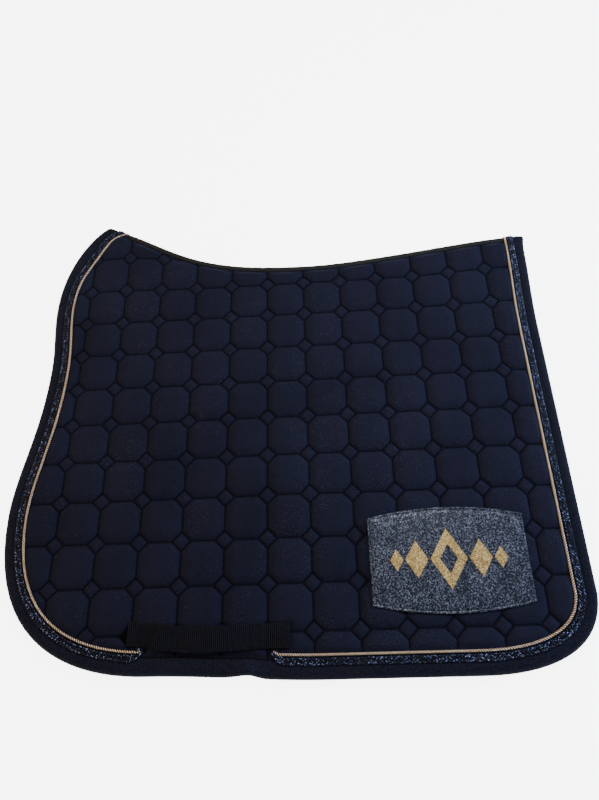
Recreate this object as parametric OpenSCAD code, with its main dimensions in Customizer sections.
// Dressage saddle pad, folded in half along its spine and lying flat.
// The near flap lies on top of the far flap, the withers point to -X and the spine to +Y.
// Each flap is a stack of lining, wadding and quilted cover, wrapped by a binding at its edge.

/* [Outline] */
// Length from the foremost point of the flap to the rear end of the spine
pad_length = 678; // [600:1:740]
// Height from the hem to the wither peak
pad_height = 623; // [560:1:680]
// Height of the wither peak above the lowest point of the spine
wither_rise = 94; // [60:1:120]
// Height of the rear end of the spine above its lowest point
rear_rise = 34; // [15:1:60]
// Distance of the wither peak behind the foremost point
peak_set_back = 75; // [65:1:110]
// Slope of the spine at the wither peak, in degrees
wither_slope = 28; // [18:1:38]
// Slope of the front edge at the wither peak, in degrees
peak_slope = 15; // [5:1:50]
// Slope of the spine at its rear end, in degrees
rear_slope = 7; // [0:0.5:12]
// Distance of the spine's lowest point in front of its rear end
dip_from_rear = 304; // [240:1:360]
// Distance of the shoulder curve behind the foremost point
shoulder_set_back = 15.5; // [8:0.5:26]
// Height of the shoulder curve's foremost point above the hem
shoulder_height = 476; // [440:1:500]
// Distance of the front edge's waist behind the foremost point
waist_set_back = 22; // [12:0.5:34]
// Height of the waist above the hem
waist_height = 383; // [330:1:420]
// Height of the foremost point above the hem
knee_height = 193; // [170:1:240]
// Length of the front lower corner along the hem
front_corner_length = 183; // [150:1:210]
// Height of the hem behind the front corner above its lowest stretch
hem_rise = 7; // [0:0.5:14]
// Length of the stretch over which the hem comes down
hem_rise_length = 196; // [120:1:240]
// Length of the rear lower corner along the hem
rear_corner_length = 131; // [90:1:160]
// Height of the rear lower corner
rear_corner_height = 86; // [60:1:120]
// How far the rear edge flares out at the spine
rear_flare = 7; // [0:0.5:14]
// Height of the flare along the rear edge
flare_height = 150; // [90:1:200]
// Radius of the rear corner at the spine
rear_tip_radius = 8; // [4:0.5:14]

/* [Layers] */
// Thickness of the binding and of the spine tape
wrap_t = 1.2; // [0.8:0.1:1.8]
// Thickness of the lining
lining_t = 1.0; // [0.6:0.1:1.6]
// Thickness of the wadding where the quilting seams press it down
wadding_t = 2.0; // [1.4:0.1:3]
// Thickness of the cover along the quilting seams
cover_t = 1.0; // [0.6:0.1:1.6]
// Height of the quilted cells above the seams
puff_h = 4.4; // [3:0.1:6]
// Gap between the two flaps when folded
flap_gap = 0.4; // [0.3:0.05:1]

/* [Quilting] */
// Distance between the small diamonds of the quilting
quilt_pitch = 50; // [40:1:60]
// Half the diagonal of a small diamond
diamond_half = 11; // [8:0.5:14]
// Width of the pressed seams between the cells
seam_w = 1.0; // [0.6:0.1:2]
// How far a cell's flat top lies inside its seams
cell_slope = 3.8; // [2.5:0.1:5]
// Distance of a column of diamonds in front of the straight rear edge
quilt_from_rear = 6.5; // [0:0.5:40]
// Height of a row of diamonds above the hem
quilt_from_hem = 47.5; // [0:0.5:50]

/* [Edge trim] */
// Width of the binding on each face of the flap
binding_w = 20; // [16:0.5:26]
// Width of the binding that shows outside the braid
binding_show = 13; // [9:0.5:16]
// Width of the braid
braid_w = 9; // [6:0.5:12]
// Thickness of the braid
braid_t = 1.6; // [1:0.1:2.5]
// Diameter of the twisted cord
cord_d = 3; // [2:0.1:4]
// Gap between the braid and the cord, and between the cord and the cells
trim_gap = 0.4; // [0.2:0.1:1]
// Width of the spine tape on each face of the pad
tape_w = 4.5; // [3:0.5:8]

/* [Girth loop] */
// Length of the girth loop along the hem
loop_length = 175; // [140:1:200]
// Width of its webbing
loop_w = 26; // [20:1:40]
// Thickness of its webbing
loop_t = 1.8; // [1.2:0.1:2.5]
// Height of the open loop's arch above the flap
loop_bow = 6.2; // [5.6:0.1:12]
// Length of the front end that is sewn down
loop_front_sewn = 12; // [8:1:30]
// Length of the rear end that is sewn down
loop_rear_sewn = 25; // [12:1:40]
// Distance of the loop's front end behind the foremost point
loop_set_back = 164.5; // [140:1:200]
// Height of the loop's lower edge above the hem
loop_height = 30; // [28:0.5:60]
// Length of the front trim's end that is tucked under the loop
trim_tuck_front = 17; // [5:1:30]
// Length of the rear trim's start that runs below the loop's rear end
trim_tuck_rear = 22; // [5:1:40]

/* [Patch] */
// Length of the glitter patch
patch_length = 174; // [120:1:200]
// Height of the patch at its sides
patch_side = 95; // [70:1:110]
// Height of the patch at its middle
patch_mid = 115; // [112:1:130]
// Thickness of the patch
patch_t = 1.2; // [0.8:0.1:2]
// Distance of the patch's middle from the rear end of the spine
patch_from_rear = 162; // [120:1:200]
// Height of the patch's middle above the hem
patch_height = 118; // [90:1:180]
// Height of the middle lozenge of the row sewn on the patch
lozenge_h = 66; // [40:1:68]
// Width of its frame
lozenge_frame = 9; // [5:0.5:12]
// Thickness of the lozenges
lozenge_t = 0.6; // [0.4:0.1:1]

/* [Fold] */
// Distance of the fold line below the lowest point of the spine
fold_below = 12; // [8:1:30]
// Gap between the folding flap and the yoke above the fold line
fold_gap = 0.5; // [0.3:0.1:1]

/* [Hidden] */

$fn = 64;
eps = 0.01;

// Levels of the layers, counted outwards from a flap's inner face
lining_z = wrap_t;
wadding_z = lining_z + lining_t;
cover_z = wadding_z + wadding_t;
seam_z = cover_z + cover_t;
wrap_z = seam_z + wrap_t;
top_z = seam_z + puff_h;
near_z = top_z + flap_gap;

// Lines across the flap, counted inwards from its edge
cord_u = binding_show + braid_w + trim_gap + cord_d / 2;
field_u = cord_u + cord_d / 2 + trim_gap;

// Corners of the outline
front_x = -pad_length / 2;
rear_x = pad_length / 2;
hem_y = -pad_height / 2;
peak = [front_x + peak_set_back, pad_height / 2];
dip = [rear_x - dip_from_rear, peak.y - wither_rise];
rear_top = [rear_x, dip.y + rear_rise];
shoulder = [front_x + shoulder_set_back, hem_y + shoulder_height];
waist = [front_x + waist_set_back, hem_y + waist_height];
knee = [front_x, hem_y + knee_height];
front_hem = [front_x + front_corner_length, hem_y + hem_rise];
low_hem = [front_hem.x + hem_rise_length, hem_y];
rear_edge_x = rear_x - rear_flare;
rear_hem = [rear_edge_x - rear_corner_length, hem_y];
rear_low = [rear_edge_x, hem_y + rear_corner_height];
rear_tip = rear_top - [0, rear_tip_radius];
flare_low = [rear_edge_x, rear_tip.y - flare_height];

fold_y = dip.y - fold_below;

// Shares of a stretch's length that its handles take: a soft S-curve, a corner, the curve from the
// peak to the shoulder, the waist, the knee upwards and downwards, and the long reaches of the spine
s_pull = 0.36;
corner_pull = 0.45;
shoulder_pull = [0.1, 0.55];
waist_pull = 0.47;
knee_pull = [0.28, 0.6];
spine_pull = [0.2, 0.47];
steps = 10;

function bezier(a, b, c, d) =
    [for (i = [0:steps - 1]) let (t = i / steps, s = 1 - t)
        s * s * s * a + 3 * s * s * t * b + 3 * s * t * t * c + t * t * t * d];
function unit(v) = v / norm(v);
function up(v) = [0, v];
function ahead(v) = [v, 0];
function heading(angle, length) = length * [cos(angle), sin(angle)];

// The bound edge, from the wither peak down the front, along the hem and up the rear
edge = concat(
    bezier(peak, peak - heading(peak_slope, shoulder_pull[0] * norm(peak - shoulder)),
        shoulder + up(shoulder_pull[1] * norm(peak - shoulder)), shoulder),
    bezier(shoulder, shoulder - up(s_pull * (shoulder.y - waist.y)),
        waist + up(s_pull * (shoulder.y - waist.y)), waist),
    bezier(waist, waist - up(waist_pull * (waist.y - knee.y)),
        knee + up(knee_pull[0] * (waist.y - knee.y)), knee),
    bezier(knee, knee - up(knee_pull[1] * norm(knee - front_hem)),
        front_hem - ahead(knee_pull[0] * norm(knee - front_hem)), front_hem),
    bezier(front_hem, front_hem + ahead(s_pull * hem_rise_length),
        low_hem - ahead(s_pull * hem_rise_length), low_hem),
    bezier(rear_hem, rear_hem + ahead(corner_pull * rear_corner_length),
        rear_low - up(corner_pull * norm(rear_hem - rear_low)), rear_low),
    bezier(flare_low, flare_low + up(s_pull * flare_height),
        rear_tip - up(s_pull * flare_height), rear_tip),
    [rear_tip]
);

// The folded spine, from its rear end to the wither peak
spine = concat(
    bezier(rear_tip, rear_tip + up(rear_tip_radius / 2),
        rear_top - ahead(rear_tip_radius / 2), rear_top - ahead(rear_tip_radius)),
    bezier(rear_top - ahead(rear_tip_radius),
        rear_top - heading(rear_slope, spine_pull[1] * dip_from_rear),
        dip + ahead(spine_pull[0] * dip_from_rear), dip),
    bezier(dip, dip - ahead(spine_pull[1] * (dip.x - peak.x)),
        peak + heading(-wither_slope, corner_pull * norm(peak - dip)), peak),
    [peak]
);
outline = concat([for (i = [0:len(edge) - 2]) edge[i]], [for (i = [0:len(spine) - 2]) spine[i]]);

// Points of a path moved sideways by d, to the left of its direction
function side(p, i, closed) =
    let (n = len(p),
        a = closed ? p[(i + n - 1) % n] : p[max(i - 1, 0)],
        b = closed ? p[(i + 1) % n] : p[min(i + 1, n - 1)],
        t = unit(b - a))
    [-t.y, t.x];
function moved(p, d, closed = false) = [for (i = [0:len(p) - 1]) p[i] + d * side(p, i, closed)];
function reversed(p) = [for (i = [len(p) - 1:-1:0]) p[i]];

// The edge and the spine, run on straight past their ends, for the bands that follow them
run_on = 60;
slope_start = 3;
trim_edge = concat(
    [edge[slope_start] + run_on * unit(edge[slope_start] - edge[slope_start + 1])],
    [for (i = [slope_start:len(edge) - 1]) edge[i]],
    [rear_tip + up(run_on)]
);
spine_line = concat(
    [rear_top + ahead(run_on)],
    [for (i = [steps:len(spine) - 1]) spine[i]],
    [peak + heading(180 - wither_slope, run_on)]
);

module band(path, from, to) polygon(concat(moved(path, from), reversed(moved(path, to))));
module edge_band(from, to) band(trim_edge, from, to);
module spine_band(from, to) band(spine_line, from, to);
module slab(from, to) translate([0, 0, from]) linear_extrude(to - from) children();

module pad_2d() polygon(outline);
module panel_2d() polygon(moved(outline, wrap_t, true));
module field_2d() difference() {
    pad_2d();
    edge_band(-run_on, field_u);
    spine_band(-run_on, tape_w + trim_gap);
}

// Stretches of the flap: below the fold line, and the yoke above it
reach = pad_length + pad_height;
module below_fold_2d() translate([-reach / 2, fold_y - fold_gap - reach]) square(reach);
module above_fold_2d() translate([-reach / 2, fold_y]) square(reach);

// The stretch of the hem between the front trim and the rear trim
loop_x = front_x + loop_set_back;
loop_y = hem_y + loop_height;
front_trim_end = loop_x + trim_tuck_front;
rear_trim_start = loop_x + loop_length - trim_tuck_rear;
module front_part_2d() translate([front_trim_end - reach, -reach / 2]) square(reach);
module rear_part_2d() translate([rear_trim_start, -reach / 2]) square(reach);

module near() translate([0, 0, near_z]) children();
module far() translate([0, 0, top_z]) mirror([0, 0, 1]) children();

// Quilting: eight-sided cells with a small diamond at every corner where four of them meet
cell_half = quilt_pitch / 2;
diamond_slope = cell_slope / 2;
diamond_puff_h = 0.7 * puff_h;
first_x = rear_edge_x - quilt_from_rear;
first_y = hem_y + quilt_from_hem;
columns = ceil((pad_length + quilt_pitch) / quilt_pitch);
rows_up = ceil((pad_height + quilt_pitch) / quilt_pitch);

function octagon(inset) =
    let (h = cell_half - inset, k = cell_half - diamond_half - inset * (sqrt(2) - 1))
    [[h, -k], [h, k], [k, h], [-k, h], [-h, k], [-h, -k], [-k, -h], [k, -h]];
function diamond(inset) =
    let (r = diamond_half - inset * sqrt(2)) [[r, 0], [0, r], [-r, 0], [0, -r]];

module puff(base, top, height) hull() {
    translate([0, 0, -eps]) linear_extrude(eps) polygon(base);
    translate([0, 0, height - eps]) linear_extrude(eps) polygon(top);
}
module quilt_cell() {
    puff(diamond(seam_w / 2), diamond(diamond_slope), diamond_puff_h);
    translate([cell_half, cell_half]) puff(octagon(seam_w / 2), octagon(cell_slope), puff_h);
}
module quilt_cells()
    for (i = [-1:columns], j = [-1:rows_up])
        translate([first_x - i * quilt_pitch, first_y + j * quilt_pitch]) quilt_cell();

// Pocket that the flat far loop presses into the cells
module loop_pocket() slab(top_z - loop_t, top_z + puff_h)
    translate([loop_x - trim_gap, loop_y - trim_gap])
        square([loop_length + 2 * trim_gap, loop_w + 2 * trim_gap]);

module quilted_cover() {
    slab(cover_z, seam_z) children();
    intersection() {
        translate([0, 0, seam_z]) quilt_cells();
        slab(cover_z, top_z) intersection() {
            field_2d();
            children();
        }
    }
}
module wadding() slab(wadding_z, cover_z) children();
module lining() {
    slab(lining_z, wadding_z) children();
    slab(0, lining_z) difference() {
        children();
        edge_band(-run_on, binding_w + trim_gap);
        spine_band(-run_on, tape_w + trim_gap);
    }
}

// Binding: a wall round the panel's edge with a leg on each face. The legs stop short of the wall's
// outer side, which rounds the edge off.
module binding_region_2d(inset) intersection() {
    polygon(moved(outline, inset, true));
    edge_band(-run_on, binding_w);
    children();
}
module binding_leg_2d() binding_region_2d(wrap_t / 2) children();
module binding() {
    slab(0, wrap_t) binding_leg_2d() children();
    slab(seam_z, wrap_z) binding_leg_2d() children();
    slab(wrap_t - eps, seam_z + eps) difference() {
        binding_region_2d(0) children();
        panel_2d();
    }
}

module braid_2d() intersection() {
    pad_2d();
    edge_band(binding_show, binding_show + braid_w);
    children();
}
module braid() slab(wrap_z, wrap_z + braid_t) braid_2d() children();

// Cord: a round section in three steps, laid along the braid's inner side
cord_step = cord_d / 3;
function cord_half(k) = k == 1 ? cord_d / 2 : cord_step;
module cord() for (k = [0:2])
    slab(seam_z + k * cord_step, seam_z + (k + 1) * cord_step) intersection() {
        pad_2d();
        edge_band(cord_u - cord_half(k), cord_u + cord_half(k));
        children();
    }

// Turns of the edge trims over the spine, which make one strip of what lies on the two flaps
module over_fold(level) slab(top_z - level, near_z + level) children();
module binding_turn() over_fold(wrap_t + eps) difference() {
    binding_region_2d(0) spine_band(-run_on, wrap_t);
    panel_2d();
}
module braid_turn() over_fold(wrap_z + braid_t) intersection() {
    edge_band(binding_show, binding_show + braid_w);
    spine_band(-braid_t, 0);
    children();
}
module cord_turn() for (k = [0:2])
    over_fold(seam_z + (k + 1) * cord_step) intersection() {
        edge_band(cord_u - cord_half(k), cord_u + cord_half(k));
        spine_band(-(k + 1) * cord_step, 0);
        children();
    }

module spine_tape() color("#1b1d22") {
    slab(top_z - wrap_z, top_z - seam_z) tape_leg_2d();
    slab(near_z + seam_z, near_z + wrap_z) tape_leg_2d();
    slab(top_z - wrap_z, near_z + wrap_z) difference() {
        tape_leg_2d();
        panel_2d();
    }
}
module tape_leg_2d() difference() {
    intersection() {
        pad_2d();
        spine_band(-run_on, tape_w);
    }
    edge_band(-run_on, field_u);
}

// Girth loop: webbing sewn down at both ends
arch_steps = 24;
free_length = loop_length - loop_front_sewn - loop_rear_sewn;
function arch(x) =
    let (s = 2 * (x - loop_front_sewn) / free_length - 1)
    abs(s) >= 1 ? 0 : loop_bow * (1 - pow(s, 4));
arch_line = concat(
    [[0, 0]],
    [for (i = [0:arch_steps]) let (x = loop_front_sewn + free_length * i / arch_steps) [x, arch(x)]],
    [[loop_length, 0]]
);
module near_girth_loop() color("#15171a") near()
    translate([loop_x, loop_y + loop_w, top_z]) rotate([90, 0, 0]) linear_extrude(loop_w)
        polygon(concat(arch_line, [for (p = reversed(arch_line)) p + up(loop_t)]));
module far_girth_loop() color("#15171a") far()
    translate([loop_x, loop_y, top_z - loop_t]) cube([loop_length, loop_w, loop_t]);

// Patch: straight sides, and a top and a bottom that bulge along arcs of a large circle
patch_at = [rear_x - patch_from_rear, hem_y + patch_height];
bulge = (patch_mid - patch_side) / 2;
bulge_radius = (pow(patch_length / 2, 2) + pow(bulge, 2)) / (2 * bulge);
module bulge_circle() circle(bulge_radius, $fn = 256);
module patch_2d() translate(patch_at) intersection() {
    square([patch_length, patch_mid], center = true);
    translate([0, patch_mid / 2 - bulge_radius]) bulge_circle();
    translate([0, bulge_radius - patch_mid / 2]) bulge_circle();
}
module patch() color("#41506e") near() slab(top_z, top_z + patch_t) patch_2d();

// Row of lozenges that get smaller towards both ends, the middle one an open frame
lozenge_aspect = 0.62;
lozenge_gap = 2;
second_h = 0.62 * lozenge_h;
third_h = 0.36 * lozenge_h;
second_x = lozenge_aspect * (lozenge_h + second_h) / 2 + lozenge_gap;
third_x = second_x + lozenge_aspect * (second_h + third_h) / 2 + lozenge_gap;
inner_h = lozenge_h - 2 * lozenge_frame * sqrt(1 + pow(1 / lozenge_aspect, 2));

module lozenge(h)
    let (w = lozenge_aspect * h)
    polygon([[w / 2, 0], [0, h / 2], [-w / 2, 0], [0, -h / 2]]);
module lozenge_row_2d() {
    difference() {
        lozenge(lozenge_h);
        lozenge(inner_h);
    }
    for (way = [-1, 1]) {
        translate([way * second_x, 0]) lozenge(second_h);
        translate([way * third_x, 0]) lozenge(third_h);
    }
}
module patch_lozenges() color("#b79a5e") near()
    slab(top_z + patch_t, top_z + patch_t + lozenge_t) translate(patch_at) lozenge_row_2d();

// The far flap, and the ends of its trims that turn over the spine and down to the fold line
module far_cover() color("#1d2436") far() difference() {
    quilted_cover() panel_2d();
    loop_pocket();
}
module far_wadding() color("#d8d6ce") far() wadding() panel_2d();
module far_lining() color("#20263a") far() lining() panel_2d();
module far_binding() color("#1c1f2a") {
    far() binding() pad_2d();
    near() binding() above_fold_2d();
    binding_turn();
}
module far_braid() color("#2b3a5c") {
    far() braid() children();
    near() braid() above_fold_part_2d() children();
    braid_turn() children();
}
module far_cord() color("#c0a078") {
    far() difference() {
        cord() children();
        loop_pocket();
    }
    near() cord() above_fold_part_2d() children();
    cord_turn() children();
}
module far_front_braid() far_braid() front_part_2d();
module far_rear_braid() far_braid() rear_part_2d();
module far_front_cord() far_cord() front_part_2d();
module far_rear_cord() far_cord() rear_part_2d();

// The yoke: the strip of the near side above the fold line
module above_fold_part_2d() intersection() {
    children();
    above_fold_2d();
}
module yoke_cover() color("#1d2436") near() quilted_cover() above_fold_part_2d() panel_2d();
module yoke_wadding() color("#d8d6ce") near() wadding() above_fold_part_2d() panel_2d();
module yoke_lining() color("#20263a") near() lining() above_fold_part_2d() panel_2d();

// The near flap, below the fold line
module below_fold_part_2d() intersection() {
    children();
    below_fold_2d();
}
module near_cover() color("#1d2436") near() quilted_cover() below_fold_part_2d() panel_2d();
module near_wadding() color("#d8d6ce") near() wadding() below_fold_part_2d() panel_2d();
module near_lining() color("#20263a") near() lining() below_fold_part_2d() panel_2d();
module near_binding() color("#1c1f2a") near() binding() below_fold_2d();
module near_braid() color("#2b3a5c") near() braid() below_fold_part_2d() children();
module near_cord() color("#c0a078") near() cord() below_fold_part_2d() children();
module near_front_braid() near_braid() front_part_2d();
module near_rear_braid() near_braid() rear_part_2d();
module near_front_cord() near_cord() front_part_2d();
module near_rear_cord() near_cord() rear_part_2d();

far_cover();
far_wadding();
far_lining();
far_binding();
far_front_braid();
far_rear_braid();
far_front_cord();
far_rear_cord();
far_girth_loop();
yoke_cover();
yoke_wadding();
yoke_lining();
spine_tape();
near_cover();
near_wadding();
near_lining();
near_binding();
near_front_braid();
near_rear_braid();
near_front_cord();
near_rear_cord();
near_girth_loop();
patch();
patch_lozenges();
